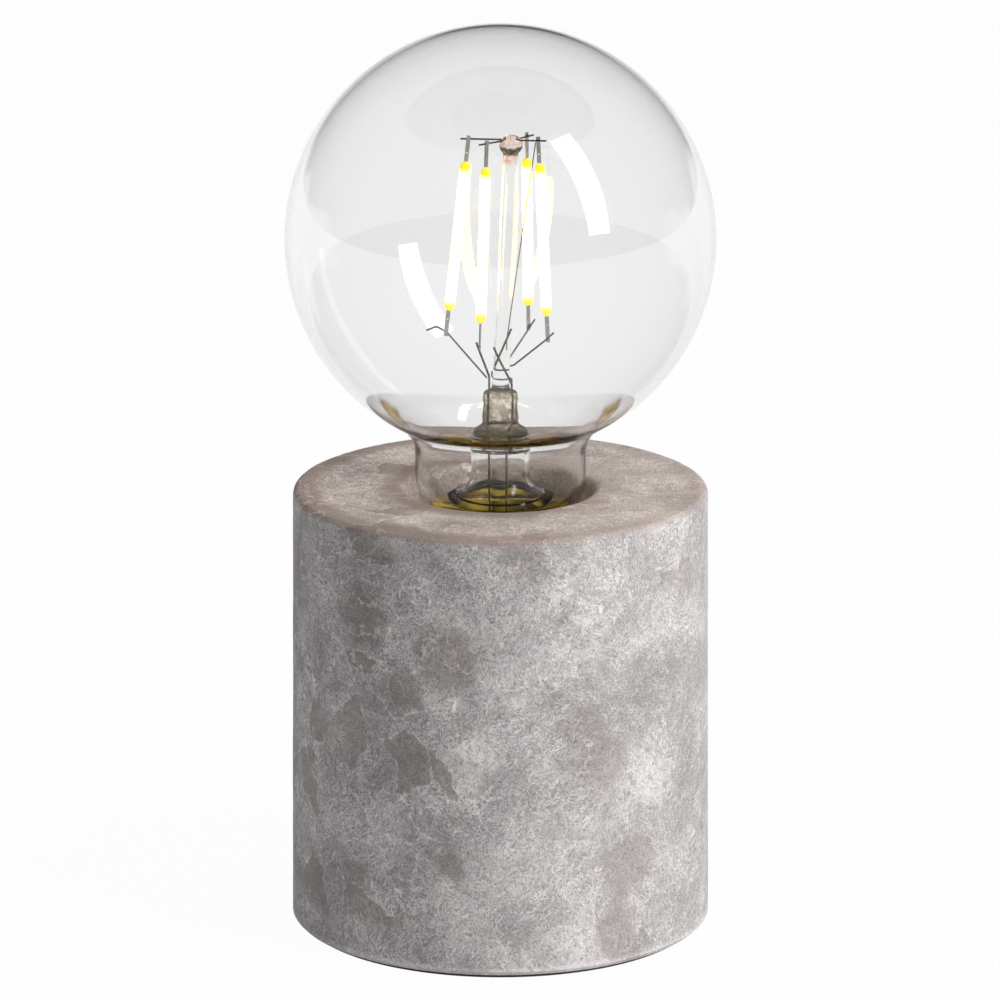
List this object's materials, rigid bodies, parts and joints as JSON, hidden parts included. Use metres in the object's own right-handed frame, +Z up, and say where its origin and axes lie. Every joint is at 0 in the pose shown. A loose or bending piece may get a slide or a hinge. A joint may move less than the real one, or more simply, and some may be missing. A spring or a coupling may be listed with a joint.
{
  "type": "bare bulb table lamp",
  "caption": "Cast concrete cylinder with a sunk screw lampholder and a clear globe bulb with upright light filaments; the bulb unscrews.",
  "frame": {"origin": "centre of the underside, on the lamp's axis", "axes": "+Z up along the bulb's axis, front towards -Y, cable inlet at the back towards +Y, +X to the right seen from the front"},
  "size_m": [0.095, 0.095, 0.2038],
  "materials": {
    "concrete": "cast concrete, matt, mottled with pale lime veins and fine scratches",
    "foam_pad": "matt black soft foam pad",
    "black_rubber": "satin black rubber",
    "zinc_steel": "zinc-plated steel",
    "holder_brass": "turned brass, golden, satin",
    "porcelain": "unglazed white porcelain",
    "socket_brass": "plain pressed brass",
    "cap_brass": "bright golden pressed brass",
    "black_glass": "black glass insulator, glossy",
    "cement": "amber-brown resin capping cement",
    "clear_glass": "clear thin blown glass, glossy",
    "stem_glass": "clear drawn glass",
    "green_board": "green circuit board",
    "capacitor_sleeve": "dark sleeve",
    "black_chip": "moulded black resin",
    "dark_wire": "oxidised nickel wire, dark brown",
    "tab_steel": "thin steel strip",
    "filament_coat": "yellow phosphor coat that glows warm white"
  },
  "bodies": {
    "base": {"concrete_body": "concrete", "base_pad": "foam_pad", "cable_grommet": "black_rubber", "threaded_nipple": "zinc_steel", "nipple_washer": "zinc_steel", "nipple_nut": "zinc_steel", "holder_dome": "holder_brass", "dome_grub_screw": "zinc_steel", "holder_shell": "holder_brass", "porcelain_insert": "porcelain", "screw_socket": "socket_brass", "contact_tongue": "socket_brass", "contact_screws": "zinc_steel", "terminal_blocks": "socket_brass", "terminal_screws": "zinc_steel"},
    "bulb_seat": {"cap_contact": "cap_brass"},
    "bulb": {"black_glass": "black_glass", "cap_shell": "cap_brass", "cap_cement": "cement", "glass_globe": "clear_glass", "stem_tube": "stem_glass", "exhaust_tube": "stem_glass", "stem_rod": "stem_glass", "driver_board": "green_board", "driver_capacitor": "capacitor_sleeve", "driver_rectifier": "black_chip", "driver_chip": "black_chip", "arm_wires": "dark_wire", "lead_wire_left": "dark_wire", "lead_wire_right": "dark_wire", "link_wire_left": "dark_wire", "link_wire_right": "dark_wire", "link_wire_rear": "dark_wire", "cross_wire": "dark_wire", "jumper_wire": "dark_wire", "filament_left": "filament_coat", "filament_front": "filament_coat", "filament_rear": "filament_coat", "filament_right": "filament_coat", "filament_tabs_left": "tab_steel", "filament_tabs_front": "tab_steel", "filament_tabs_rear": "tab_steel", "filament_tabs_right": "tab_steel"}
  },
  "joints": [
    {"name": "bulb_lift", "type": "slide", "parent": "base", "child": "bulb_seat", "axis": [0, 0, 1], "range_m": [0, 0.0165]},
    {"name": "bulb_turn", "type": "hinge", "parent": "bulb_seat", "child": "bulb", "pos_m": [0, 0, 0.0658], "axis": [0, 0, 1], "range_deg": [0, 1620]}
  ],
  "couplings": [
    {"joint": "bulb_lift", "follows": "bulb_turn", "m_per_rad": 0.00057757}
  ]
}
